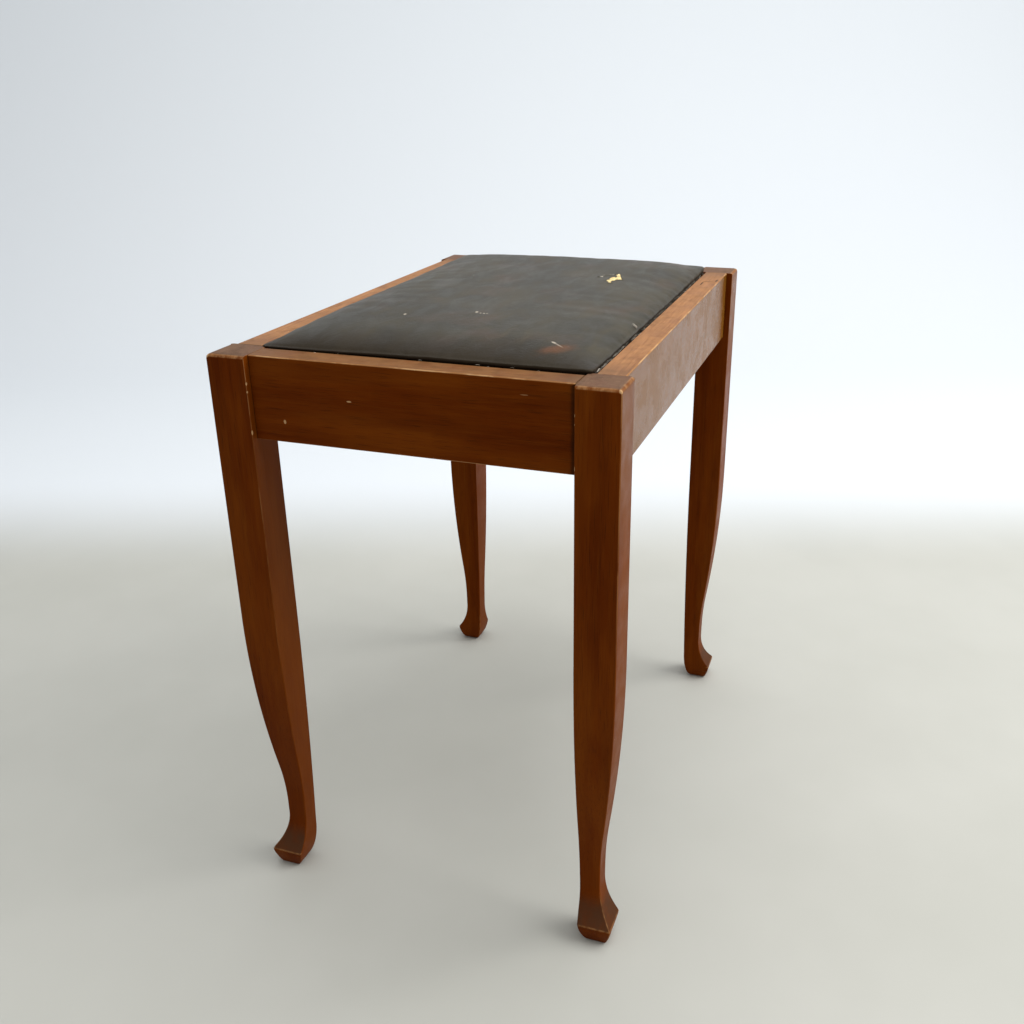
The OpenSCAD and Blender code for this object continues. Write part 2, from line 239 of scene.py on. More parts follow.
WOOD_DARK = (0.080, 0.0120, 0.0003)
WOOD_MID = (0.132, 0.0235, 0.0006)
WOOD_LIGHT = (0.215, 0.0550, 0.0040)
WORN_AND_HIGHLIT_WOOD = (0.430, 0.215, 0.085)
WOOD_RAW = (0.600, 0.370, 0.180)
WOOD_GRIME_AND_SHADE = (0.012, 0.005, 0.002)
FOOT_GRIME = (0.074, 0.030, 0.014)
BLEACH_AND_SHEEN = (0.205, 0.100, 0.015)
RAIL_TOP_COLOUR = (0.335, 0.165, 0.075)
END_RAIL_TOP = (0.190, 0.088, 0.034)
END_GRAIN = (0.148, 0.086, 0.054)


def varnished_wood(name, along, seed, top_colour, rim_wear_and_highlight, bleach_and_sheen_band, marks=(), joints=(),
                   scratches=()):
    """Old satin varnish over fine-grained wood whose grain runs along axis 0, 1 or 2.
    The bleach band is (depth below the top where it starts, where it is full, how strong it gets)
    of the pale front, partly bleaching and partly painted sheen.
    Marks are (centre, radii, strength) of pale chips, scratches (centre, radii) of dark cracks,
    joints (place along the grain, width on top, width on the side) of the dark strip in a joint,
    dirt with painted gap shadow."""
    g = Graph(name)
    moved = g.vector("ADD", g.position, (seed * 1.37, seed * 0.71, seed * 2.13))
    grain = g.stretched(moved, along, 0.05)
    fibre = g.stretched(moved, along, 0.02)
    long_cloud = g.stretched(moved, along, 0.22)
    figure = g.noise(grain, 60, 4, 0.55, 0.8)
    streaks = g.noise(grain, 330, 3, 0.6, 0.3)
    pores = g.noise(fibre, 1900, 2, 0.5)
    blotches = g.noise(long_cloud, 22, 3, 0.55)
    cloud = g.noise(moved, 45, 4, 0.6)

    colour = g.mix(g.ramp(figure, 0.24, 0.78, 0.15, 0.95), WOOD_DARK, WOOD_MID)
    colour = g.mix(g.times(g.ramp(streaks, 0.45, 0.75), 0.18), colour, WOOD_LIGHT)
    colour = g.mix(g.times(g.ramp(blotches, 0.40, 0.68), 0.40), colour, WOOD_LIGHT)
    colour = g.mix(g.times(g.ramp(pores, 0.56, 0.70), 0.45), colour, WOOD_GRIME_AND_SHADE)

    # Level tops, where the varnish has gone and the wood has faded with handling, and painted
    # lighter as well: a painted reflection of the bright sky
    height = g.part(g.position, "Z")
    level = g.part(g.normal, "Z")
    upward = g.ramp(level, 0.70, 0.95)
    top = g.times(upward, g.ramp(height, RAIL_TOP - 0.03, RAIL_TOP - 0.006))
    top_wear_and_reflection = g.times(top, g.ramp(cloud, 0.22, 0.60, 0.62, 1.0))
    top_wear_and_reflection_colour = g.mix(g.ramp(streaks, 0.42, 0.74, 0.0, 0.5), top_colour, shade(top_colour, 1.5))
    top_wear_and_reflection_colour = g.mix(g.ramp(g.noise(moved, 70, 4, 0.6), 0.46, 0.70, 0.0, 0.42), top_wear_and_reflection_colour,
                  shade(top_colour, 0.42))
    top_wear_and_reflection_colour = g.mix(g.ramp(pores, 0.55, 0.70, 0.0, 0.45), top_wear_and_reflection_colour, WOOD_DARK)
    place = g.part(g.position, "XYZ"[along])
    for end, _, _ in joints:
        top_wear_and_reflection_colour = g.mix(g.ramp(g.gap(place, end), 0.050, 0.004, 0.0, 0.5), top_wear_and_reflection_colour, END_GRAIN)
    colour = g.mix(top_wear_and_reflection, colour, top_wear_and_reflection_colour)

    # The front of the bench: faces turned to the window light are painted lighter, a painted sheen,
    # and the front faces are painted pale, partly bleached by the window and partly painted sheen
    outward = g.part(g.normal, "Y")
    depth = g.part(g.position, "Y")
    painted_light_side = g.ramp(outward, -0.55, -0.95)
    front = g.times(painted_light_side, g.ramp(depth, FRONT_Y + 0.030, FRONT_Y + 0.016))
    # The pale front band is partly bleaching and partly painted sheen
    starts, full, peak = bleach_and_sheen_band
    front = g.times(front, g.ramp(height, RAIL_TOP - starts, RAIL_TOP - full, 0.0, peak))
    bleach_and_sheen_patches = g.times(front, g.ramp(cloud, 0.25, 0.70, 0.50, 0.62))
    # Painted light: every face turned to the window lamp made lighter
    colour = g.mix(g.times(painted_light_side, 0.36), colour, shade(WOOD_LIGHT, 0.95))
    colour = g.mix(bleach_and_sheen_patches, colour, BLEACH_AND_SHEEN)

    # Feet, dull and dusty where the toes catch shoes and mops
    scooped = g.times(g.ramp(level, 0.10, 0.45), g.ramp(height, FLOOR_Z + 0.062, FLOOR_Z + 0.036))
    scuffed = g.times(scooped, g.ramp(g.noise(moved, 90, 4, 0.6), 0.30, 0.62, 0.70, 1.0))
    colour = g.mix(g.times(scuffed, 0.95), colour, FOOT_GRIME)

    # Arrises rubbed through, with a painted highlight: a pale line kept continuous near the top and
    # weaker on edges turned to the back. The eased edges face between the axes; the feet are worn
    # at the toe
    turned = g.vector("ABSOLUTE", g.normal, (0, 0, 0))
    squarest = g.most(g.most(g.part(turned, "X"), g.part(turned, "Y")), g.part(turned, "Z"))
    eased = g.times(g.ramp(squarest, 0.985, 0.90), g.ramp(height, 0.12, 0.20))
    eased = g.times(eased, g.ramp(outward, 0.15, 0.50, 1.0, 0.15))
    past_x = g.minus(g.math("ABSOLUTE", g.part(g.position, "X")), HALF_LENGTH)
    past_y = g.minus(g.math("ABSOLUTE", depth), HALF_WIDTH)
    ridge = g.times(g.ramp(g.gap(past_x, past_y), 1.1 * MM, 0.4 * MM),
                    g.ramp(height, FLOOR_Z + 0.060, FLOOR_Z + 0.035))
    lip = g.times(g.ramp(g.gap(height, FLOOR_Z + TOE_HEIGHT), 1.2 * MM, 0.4 * MM),
                  g.ramp(g.most(past_x, past_y), -4 * MM, -3 * MM))
    worn_low = g.times(g.most(ridge, lip),
                       g.ramp(g.noise(moved, 140, 4, 0.6), 0.36, 0.60, 0.15, 0.8))
    reach = g.ramp(height, RAIL_TOP - 0.34, RAIL_TOP - 0.004, 0.20, 1.0)
    least = g.ramp(height, RAIL_TOP - 0.02, RAIL_TOP - 0.003, 0.20, rim_wear_and_highlight)
    patchy = g.most(g.ramp(g.noise(long_cloud, 75, 4, 0.65), 0.38, 0.66), least)
    # rubbed carries real wear and the painted highlight along the arrises
    rubbed = g.most(g.times(eased, g.times(reach, patchy)), worn_low)
    colour = g.mix(g.times(rubbed, 0.35 + 0.9 * rim_wear_and_highlight), colour, WORN_AND_HIGHLIT_WOOD)
    bare = g.times(g.ramp(g.noise(long_cloud, 170, 4, 0.7), 0.48, 0.64),
                   g.ramp(height, RAIL_TOP - 0.10, RAIL_TOP - 0.003))
    colour = g.mix(g.times(g.times(eased, bare), rim_wear_and_highlight), colour, WOOD_RAW)

    # Dark strips at the rails' ends: dirt in the joints, with painted shadow of the open gap
    for end, top_width, side_width in joints:
        width = g.ramp(height, RAIL_TOP - 0.5 * MM, RAIL_TOP - 2.5 * MM, top_width, side_width)
        away = g.plus(g.math("DIVIDE", g.gap(place, end), width), g.times(cloud, 0.5))
        colour = g.mix(g.ramp(away, 1.35, 0.75, 0.0, 0.66), colour, WOOD_GRIME_AND_SHADE)

    # Small pale specks scattered all over, and this piece's own chips and cracks
    specks = g.ramp(g.cells(moved, 55), 0.040, 0.022)
    specks = g.times(specks, g.ramp(g.noise(moved, 21, 1), 0.60, 0.66))
    for centre, radii, strength in marks:
        specks = g.most(specks, g.times(g.spot(centre, radii), strength))
    colour = g.mix(g.times(specks, 0.8), colour, WOOD_RAW)
    cracks = 0.0
    for centre, radii in scratches:
        cracks = g.most(cracks, g.spot(centre, radii, 0.5, 900))
    colour = g.mix(g.times(cracks, 0.85), colour, WOOD_GRIME_AND_SHADE)

    rough = g.ramp(cloud, 0.3, 0.7, 0.32, 0.46)
    rough = g.plus(rough, g.times(g.most(top_wear_and_reflection, rubbed), 0.12))
    rough = g.minus(rough, g.times(front, 0.14))
    relief = g.plus(g.times(streaks, 0.5), g.times(pores, 0.35))
    relief = g.minus(g.plus(relief, g.times(figure, 0.6)), g.times(g.plus(specks, cracks), 2.0))
    grazing = g.node("ShaderNodeLayerWeight", {"Blend": 0.5}).outputs["Facing"]
    gloss = g.plus(0.028, g.times(front, 0.045))
    g.set(Base_Color=colour, Roughness=rough, Normal=g.bump(relief, 0.00018, 0.8),
          Specular_IOR_Level=g.ramp(grazing, 0.20, 0.72, 0.03, gloss),
          Specular_Tint=(1.0, 0.86, 0.66))
    return g.material


def bare_wood(name, along, seed, pale, dark):
    """Unfinished wood with saw marks across the grain, dusty and browned with age."""
    g = Graph(name)
    moved = g.vector("ADD", g.position, (seed * 0.9, seed * 1.9, seed * 0.4))
    grain = g.stretched(moved, along, 0.05)
    figure = g.noise(grain, 110, 4, 0.6, 0.9)
    fibres = g.noise(grain, 900, 3, 0.6)
    dirt = g.noise(moved, 30, 4, 0.6)
    sawn = g.noise(g.stretched(moved, along, 1.0, 0.15), 420, 2, 0.4)
    colour = g.mix(g.ramp(figure, 0.35, 0.7), dark, pale)
    colour = g.mix(g.times(g.ramp(fibres, 0.5, 0.72), 0.4), colour, dark)
    colour = g.mix(g.times(g.ramp(dirt, 0.5, 0.75), 0.5), colour, shade(dark, 0.4))
    relief = g.plus(fibres, g.times(sawn, 1.2))
    g.set(Base_Color=colour, Roughness=g.ramp(dirt, 0.3, 0.7, 0.72, 0.88),
          Normal=g.bump(relief, 0.0003, 0.8), Specular_IOR_Level=0.25)
    return g.material


def old_steel(name, base, rust_amount):
    g = Graph(name)
    spots = g.noise(g.position, 500, 4, 0.65)
    rust = g.times(g.ramp(spots, 0.45, 0.65), rust_amount)
    colour = g.mix(rust, base, (0.16, 0.055, 0.02))
    g.set(Base_Color=colour, Roughness=g.ramp(spots, 0.3, 0.7, 0.35, 0.7), Metallic=0.85,
          Normal=g.bump(spots, 0.0001, 0.6))
    return g.material


def woven(name, thread, gap, warp_scale, weft_scale, bump_depth, axis=0, stripe=None):
    """Plain-woven jute with threads along X and Y. stripe is (places, half width, colour)."""
    g = Graph(name)
    slub = g.noise(g.position, 260, 3, 0.6)
    x, y = g.part(g.position, "X"), g.part(g.position, "Y")
    drift = g.times(g.noise(g.position, 38, 2), 0.0016)
    warp = g.math("SINE", g.times(g.plus(x, drift), warp_scale))
    weft = g.math("SINE", g.times(g.plus(y, drift), weft_scale))
    over = g.times(warp, weft)
    cords = g.most(g.math("ABSOLUTE", warp), g.math("ABSOLUTE", weft))
    relief = g.plus(g.plus(g.times(over, 0.5), g.times(slub, 0.6)), cords)
    colour = g.mix(g.ramp(slub, 0.32, 0.68), shade(thread, 0.62), thread)
    if stripe:
        places, half_width, dye = stripe
        across = y if axis == 0 else x
        for place in places:
            dyed = g.ramp(g.gap(across, place), half_width * 1.15, half_width * 0.85, 0.0, 0.85)
            colour = g.mix(dyed, colour, dye)
    # Painted shade in the gaps between the threads
    colour = g.mix(g.ramp(cords, 0.55, 0.15, 0.0, 0.9), colour, gap)
    dust = g.noise(g.position, 24, 3, 0.6)
    colour = g.mix(g.ramp(dust, 0.5, 0.75, 0.0, 0.4), colour, (0.14, 0.11, 0.08))
    g.set(Base_Color=colour, Roughness=0.92, Normal=g.bump(relief, bump_depth, 0.9),
          Specular_IOR_Level=0.15, Sheen_Weight=0.12, Sheen_Roughness=0.6)
    return g.material


LEATHER_DARK = (0.0135, 0.0107, 0.0066)
LEATHER_MID = (0.0300, 0.0246, 0.0150)
LEATHER_WORN = (0.0620, 0.0510, 0.0330)


def leathercloth():
    """Aged leathercloth: fine pebble grain, rubbed and cracked, with the seat's own scars."""
    g = Graph("leathercloth_worn")
    here = g.position
    blotch = g.noise(here, 13, 4, 0.6, 0.5)
    brushed = g.noise(g.stretched(here, 0, 0.45), 55, 4, 0.62, 0.6)
    fine = g.noise(here, 420, 3, 0.6)
    colour = g.mix(g.ramp(blotch, 0.34, 0.66), LEATHER_DARK, LEATHER_MID)
    colour = g.mix(g.ramp(brushed, 0.44, 0.74, 0.0, 0.60), colour, LEATHER_WORN)
    colour = g.mix(g.ramp(fine, 0.55, 0.72, 0.0, 0.25), colour, LEATHER_WORN)

    # Painted reddish sheen, in a few soft patches
    ruddy_sheen = g.times(g.ramp(g.noise(here, 19, 3, 0.55), 0.50, 0.72), 0.34)
    colour = g.mix(ruddy_sheen, colour, (0.078, 0.042, 0.030))

    # Painted shade: the pad's sides below the rim painted dark, and a wider band at the left end
    # painted darker where its surface turns away from the sheen
    height = g.part(here, "Z")
    edge = g.ramp(height, RAIL_TOP + 0.85 * EDGE_RISE, RAIL_TOP + 0.25 * EDGE_RISE, 0.0, 0.9)
    colour = g.mix(edge, colour, (0.008, 0.0065, 0.0055))
    left_end_shade = g.ramp(g.part(here, "X"), -SEAT_X + 0.055, -SEAT_X + 0.004, 0.0, 0.85)
    colour = g.mix(left_end_shade, colour, (0.0165, 0.0108, 0.0066))

    # One brown scuff with a pale scratch in it, and a few pale specks
    top = RAIL_TOP + 0.75 * CROWN
    scuff = g.spot((-0.2020, -0.1122, top), (0.0135, 0.0066, 0.03), 0.7, 150, 0.8, -43)
    colour = g.mix(g.times(scuff, 0.50), colour, (0.170, 0.066, 0.032))
    line = g.spot((-0.1935, -0.1100, top), (0.0064, 0.0008, 0.03), 0.35, 500, 0.3, 53)
    head = g.spot((-0.1900, -0.1053, top), (0.0027, 0.0013, 0.03), 0.35, 500, 0.3, 53)
    pale = g.most(g.times(head, 0.75), g.times(line, 0.42))
    for x, y, size in PALE_SPECKS:
        centre = (x * MM, y * MM, RAIL_TOP + 0.9 * CROWN)
        pale = g.most(pale, g.spot(centre, (size * MM, 0.7 * size * MM, 0.02), 0.3, 700))
    colour = g.mix(g.times(pale, 0.9), colour, (0.52, 0.45, 0.36))

    cracks = g.ramp(g.cells(g.stretched(here, 1, 0.6), 150, "DISTANCE_TO_EDGE"), 0.0, 0.035)
    crack_area = g.ramp(g.noise(here, 24, 3, 0.6), 0.50, 0.66, 0.0, 0.55)
    relief = g.plus(g.times(g.cells(here, 900), 0.35), g.times(g.cells(here, 430), 0.25))
    relief = g.plus(g.plus(relief, g.times(g.times(cracks, crack_area), 0.7)), brushed)
    rough = g.plus(g.ramp(brushed, 0.3, 0.72, 0.42, 0.55), g.times(scuff, 0.15))
    g.set(Base_Color=colour, Roughness=rough, Normal=g.bump(relief, 0.00030, 0.85),
          Specular_IOR_Level=g.minus(0.28, g.times(left_end_shade, 0.14)),
          Specular_Tint=(1.0, 0.91, 0.66), Sheen_Weight=0.04, Sheen_Roughness=0.45,
          Sheen_Tint=(0.80, 0.74, 0.62))
    return g.material


def stuffing_stuff():
    g = Graph("stuffing_pale")
    clump = g.noise(g.position, 330, 4, 0.65)
    hairs = g.noise(g.stretched(g.position, 1, 0.3), 1400, 3, 0.6)
    colour = g.mix(g.ramp(clump, 0.32, 0.66), (0.52, 0.33, 0.10), (0.93, 0.76, 0.36))
    colour = g.mix(g.ramp(hairs, 0.5, 0.7, 0.0, 0.5), colour, (1.0, 0.88, 0.56))
    relief = g.plus(clump, g.times(hairs, 0.5))
    g.set(Base_Color=colour, Roughness=0.95, Normal=g.bump(relief, 0.0006, 1.0),
          Specular_IOR_Level=0.1, Sheen_Weight=0.3)
    return g.material


def lint():
    g = Graph("gap_lint_fibre")
    tone = g.noise(g.position, 300, 2)
    g.set(Base_Color=g.mix(g.ramp(tone, 0.35, 0.65), (0.26, 0.23, 0.19), (0.66, 0.60, 0.52)),
          Roughness=0.9, Normal=g.bump(tone, 0.0001, 0.5))
    return g.material


# ---- The wooden frame ----

def sharp_edges(mesh, angle):
    """Says of each of the mesh's edges whether it is sharp. A CAD mesh's faces don't share points,
    so edges are matched by where they are."""
    def place(k):
        return tuple(round(c * 1e5) for c in mesh.vertices[k].co)

    normals = {}
    for polygon in mesh.polygons:
        for ends in polygon.edge_keys:
            key = frozenset(place(k) for k in ends)
            normals.setdefault(key, []).append(polygon.normal)
    sharp = {key for key, pair in normals.items() if len(pair) == 2 and len(key) == 2
             and pair[0].angle(pair[1], 0.0) > angle}
    return [frozenset(place(k) for k in edge.vertices) in sharp for edge in mesh.edges]


def ease_edges(node, width, own_width=None, shortest=0.0):
    """Joins the CAD mesh's faces, rounds its sharp edges by width and shades it smoothly.
    own_width(a, b) may give the edge between two points a width of its own, or 0. Edges that
    are shorter than shortest, such as those round a hole, stay as they are."""
    piece = NODES[node]
    mesh = piece.data
    widths = []
    for edge, sharp in zip(mesh.edges, sharp_edges(mesh, math.radians(32))):
        a, b = (mesh.vertices[k].co for k in edge.vertices)
        own = own_width(a, b) if own_width else 0.0
        widths.append((own or width) if sharp and (a - b).length >= shortest else 0.0)
    widest = max(widths)
    weights = mesh.attributes.new("bevel_weight_edge", "FLOAT", "EDGE")
    weights.data.foreach_set("value", [own / widest for own in widths])
    weld = piece.modifiers.new("join", "WELD")
    weld.merge_threshold = 0.01 * MM
    flat = piece.modifiers.new("flat", "DECIMATE")
    flat.decimate_type = "DISSOLVE"
    flat.angle_limit = math.radians(0.4)
    bevel = piece.modifiers.new("ease", "BEVEL")
    bevel.width = widest
    bevel.segments = 3 if width > 1 * MM else 2
    bevel.limit_method = "WEIGHT"
    bevel.use_clamp_overlap = False
    shade = piece.modifiers.new("shade", "WEIGHTED_NORMAL")
    shade.weight = 90
    if "custom_normal" in mesh.attributes:
        mesh.attributes.remove(mesh.attributes["custom_normal"])
    smooth(mesh)


def both_at(a, b, axis, place):
    """Whether two points lie at a place along an axis, to 0.05 mm."""
    return max(abs(a[axis] - place), abs(b[axis] - place)) < 0.05 * MM


def outer_corner(node):
    """The x and y of a leg's outer corner."""
    low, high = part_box(node)
    return low.x if low.x < 0 else high.x, low.y if low.y < 0 else high.y


def leg_top_widths(node):
    """Rounds a leg's top edges on its outer sides and keeps them crisp beside the rails."""
    top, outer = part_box(node)[1].z, outer_corner(node)

    def width(a, b):
        if not both_at(a, b, 2, top):
            return 0.0
        on_side = both_at(a, b, 0, outer[0]) or both_at(a, b, 1, outer[1])
        return 3.8 * MM if on_side else 0.35 * MM
    return width


def rail_end_widths(node, along):
    """Keeps a rail's edges crisp where its ends meet the legs."""
    ends = [corner[along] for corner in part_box(node)]

    def width(a, b):
        return 0.35 * MM if any(both_at(a, b, along, end) for end in ends) else 0.0
    return width


def dress(node, material, *easing):
    """Gives a CAD node a new material, and rounds its edges as ease_edges says."""
    NODES[node].data.materials.clear()
    NODES[node].data.materials.append(material)
    ease_edges(node, *easing)


SAWN_BROWN = (0.28, 0.165, 0.08)


def end_rail_marks():
    """Two chips and a faint scratch on the outside of the left rail, placed along and up it."""
    low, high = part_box("rail_left")
    marks = []
    for share_y, share_z, along, up in ((0.897, 0.25, 1.2, 1.9), (0.678, 0.565, 2.2, 0.7),
                                        (0.146, 0.828, 3.4, 0.5)):
        y = low.y + share_y * (high.y - low.y)
        z = low.z + share_z * (high.z - low.z)
        marks.append(((low.x, y, z), (1.2 * MM, along * MM, up * MM), 0.9 if along < 3 else 0.3))
    return marks


def front_rail_cracks():
    """Fine dark cracks across the top of the front rail, near its right end."""
    low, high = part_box("rail_front")
    return [((high.x - inward, low.y + back, high.z), (along, across, 0.004))
            for inward, back, along, across in ((0.058, 0.010, 0.0012, 0.0065),
                                                (0.050, 0.003, 0.0070, 0.0009),
                                                (0.070, 0.016, 0.0090, 0.0008))]


def leg_marks(node):
    """Chips on the arris beside the end rail, and a worn outer corner at the top of a leg."""
    low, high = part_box(node)
    outer_x, outer_y = outer_corner(node)
    inner_y = high.y if low.y < 0 else low.y
    chips = [((outer_x, inner_y, high.z - drop), (1.3 * MM, 0.8 * MM, length), 0.9)
             for drop, length in ((0.024, 1.5 * MM), (0.0315, 1.0 * MM), (0.068, 2.2 * MM))]
    corner = (outer_x - math.copysign(1.0 * MM, outer_x),
              outer_y - math.copysign(1.0 * MM, outer_y), high.z - 1.2 * MM)
    return chips + [(corner, (1.8 * MM, 1.8 * MM, 2.4 * MM), 0.85)]


def rail_joints(node, along):
    """The two ends of a rail: an open joint at the left rail's front end, a tight one beside it."""
    low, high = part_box(node)
    # The widths are of the dark strip at each end: dirt with painted gap shadow
    usual = (0.8 * MM, 0.8 * MM)
    widths = {"rail_left": (1.5 * MM, 5.6 * MM), "rail_front": (0.12 * MM, 0.12 * MM)}
    return (low[along], *widths.get(node, usual)), (high[along], *usual)


def finish_frame():
    """Gives every wooden piece, screw and tack its material and its eased edges. Along is the
    axis that the grain of a side's pieces runs along."""
    for seed, corner in enumerate(("front_left", "front_right", "back_left", "back_right")):
        node = "leg_" + corner
        leg = varnished_wood("varnish_" + node, 2, seed + 1, END_GRAIN, 0.18,
                             (0.165, 0.0, 0.48), leg_marks(node))
        dress(node, leg, 1.3 * MM, leg_top_widths(node))
        block = bare_wood("block_" + corner, 0, seed + 31, (0.47, 0.30, 0.16), SAWN_BROWN)
        dress("corner_block_" + corner, block, 0.5 * MM)
    for seed, (side, along) in enumerate((("front", 0), ("back", 0), ("left", 1), ("right", 1))):
        node = "rail_" + side
        marks = end_rail_marks() if side == "left" else ()
        cracks = front_rail_cracks() if side == "front" else ()
        top = END_RAIL_TOP if side == "left" else RAIL_TOP_COLOUR
        rail = varnished_wood("varnish_" + node, along, seed + 11, top, 0.60,
                              (0.20, 0.09, 1.0), marks, rail_joints(node, along), cracks)
        dress(node, rail, 1.4 * MM, rail_end_widths(node, along), 12 * MM)
        ledge = bare_wood("sawn_ledge_" + side, along, seed + 21, (0.50, 0.335, 0.19), SAWN_BROWN)
        dress("ledge_" + side, ledge, 0.5 * MM)
        member = bare_wood("planed_" + side, along, seed + 41, (0.60, 0.44, 0.27),
                           (0.38, 0.25, 0.14))
        dress("seat_member_" + side, member, 0.5 * MM)
    dowel = bare_wood("dowel_wood", 0, 51, (0.66, 0.50, 0.32), (0.45, 0.31, 0.18))
    screw = old_steel("screw_steel", (0.30, 0.28, 0.26), 0.7)
    tack = old_steel("tack_steel", (0.055, 0.058, 0.070), 0.45)
    for material, width, nodes in (
            (dowel, 0.4 * MM, ("rail_dowels", "seat_member_dowels")),
            (screw, 0.15 * MM, ("ledge_screws", "corner_block_screws")),
            (tack, 0.25 * MM, ("webbing_tacks", "hessian_tacks", "cover_tacks"))):
        for node in nodes:
            dress(node, material, width)


# ---- The padded seat ----

def to_outline(x, y, half_x, half_y, radius):
    """Moves a point of a plain rectangle's corner so that the rectangle's edge becomes round."""
    dx, dy = abs(x) - (half_x - radius), abs(y) - (half_y - radius)
    if dx <= 0 or dy <= 0:
        return x, y
    new_dx = dx * math.sqrt(1 - dy * dy / (2 * radius * radius))
    new_dy = dy * math.sqrt(1 - dx * dx / (2 * radius * radius))
    return (math.copysign(half_x - radius + new_dx, x), math.copysign(half_y - radius + new_dy, y))


TOP_INSET = 1.3 * MM
TOP_CORNER = 5 * MM
PAD_STEP = 4 * MM
PAD_SWELL = 1.5 * MM


def edge_rise(x, y):
    """Height of the pad's rim above the rails: fuller at the right end, thin at the back left
    and along the front."""
    right = smoothstep(0.2, 1.0, x / SEAT_X)
    back_left = smoothstep(0.3, 1.0, -x / SEAT_X) * smoothstep(-0.2, 1.0, y / SEAT_Y)
    front = smoothstep(0.80, 1.0, -y / SEAT_Y) * smoothstep(-1.0, -0.85, x / SEAT_X)
    front *= 1 - 0.8 * smoothstep(0.5, 1.0, x / SEAT_X)
    return EDGE_RISE + (2.5 * right - 2.1 * back_left - 1.4 * front) * MM


def pad_rise(x, y):
    """Height of the padding above the rails: it steps up at its edge, then crowns gently."""
    fall_x = 1 - min(1.0, abs(x) / SEAT_X) ** (4.5 if x < 0 else 7)
    fall_y = 1 - min(1.0, abs(y) / SEAT_Y) ** 3.6
    rim = edge_rise(x, y)
    return rim + (CROWN + 1.2 * MM - rim) * (fall_x * fall_y) ** 0.62


def top_height(x, y):
    return RAIL_TOP + pad_rise(x, y)


# Rows of the cover below its top: outward from the top's edge, height above the rails, corner
ROLL_ROWS = ((0.55, 3.15, 5.0), (1.00, 2.60, 5.0), (1.25, 1.80, 5.0), (1.30, 0.80, 5.2),
             (1.05, 0.30, 6.0), (0.80, 0.18, 9.0), (0.30, -0.60, 11.0), (-0.10, -2.0, 13.0),
             (-0.20, -5.0, 13.0), (-0.20, -10.0, 13.0), (-0.20, -16.0, 13.0), (-0.30, -20.8, 13.0))


def outline_row(unit_edge, outward, corner, rise):
    """One closed row of points round the seat, rise above the rails where the rim is usual.
    unit_edge holds places on a square from -1 to 1."""
    half_x = SEAT_X + PAD_SWELL - TOP_INSET + outward
    half_y = SEAT_Y + PAD_SWELL - TOP_INSET + outward
    places = []
    for ux, uy in unit_edge:
        x, y = to_outline(ux * half_x, uy * half_y, half_x, half_y, corner)
        share = edge_rise(x, y) / EDGE_RISE if rise > 0 else 1.0
        places.append((x, y, RAIL_TOP + rise * share))
    return places


def pad_surface():
    """The cover's top as a grid, and its sides as rows below the grid's edge.
    Returns points, faces, the last row, the places round the edge and the top's point count."""
    half_x, half_y = SEAT_X + PAD_SWELL - TOP_INSET, SEAT_Y + PAD_SWELL - TOP_INSET
    columns = 2 * round(half_x / PAD_STEP) + 1
    rows = 2 * round(half_y / PAD_STEP) + 1
    unit = unit_grid(columns, rows)
    points = []
    for ux, uy in unit:
        x, y = to_outline(ux * half_x, uy * half_y, half_x, half_y, TOP_CORNER)
        points.append((x, y, top_height(ux * SEAT_X, uy * SEAT_Y)))
    faces, edge = grid_faces(columns, rows), grid_rim(columns, rows)
    unit_edge = [unit[k] for k in edge]
    top_count = len(points)
    for outward, rise, corner in ROLL_ROWS:
        row = outline_row(unit_edge, outward * MM, corner * MM, rise * MM)
        edge = add_row(points, faces, edge, row)
    return points, faces, edge, unit_edge, top_count


def unit_grid(columns, rows):
    """Places from -1 to 1 both ways, row by row."""
    return [(2 * i / (columns - 1) - 1, 2 * j / (rows - 1) - 1)
            for j in range(rows) for i in range(columns)]


def grid_faces(columns, rows):
    corners = [j * columns + i for j in range(rows - 1) for i in range(columns - 1)]
    return [(a, a + 1, a + 1 + columns, a + columns) for a in corners]


def grid_rim(columns, rows):
    """Indices round the outside of a grid of points, anticlockwise."""
    rim = list(range(columns))
    rim += [j * columns + columns - 1 for j in range(1, rows)]
    rim += [(rows - 1) * columns + i for i in range(columns - 2, -1, -1)]
    rim += [j * columns for j in range(rows - 2, 0, -1)]
    return rim


def slab_faces(columns, rows):
    """The faces of a thin slab: a grid of points on top, and the same grid below it."""
    top, rim, count = grid_faces(columns, rows), grid_rim(columns, rows), columns * rows
    below = [tuple(count + k for k in (a, d, c, b)) for a, b, c, d in top]
    return top + below + [(a, a + count, b + count, b) for a, b in zip(rim, rim[1:] + rim[:1])]


def add_row(points, faces, edge, places):
    """Joins one more closed row of points to the last one, and returns it."""
    start = len(points)
    points.extend(places)
    row = list(range(start, start + len(places)))
    count = len(row)
    for k in range(count):
        n = (k + 1) % count
        faces.append((edge[k], row[k], row[n], edge[n]))
    return row


CLOTH = {"quality": 6, "mass": 0.25, "tension_stiffness": 12, "compression_stiffness": 12,
         "shear_stiffness": 3, "bending_stiffness": 0.15, "vertex_group_mass": "pin",
         "use_pressure": True, "uniform_pressure_force": 3.5, "shrink_min": -0.012}
SIM_FRAMES = 22
SIM_CAP = 7 * MM


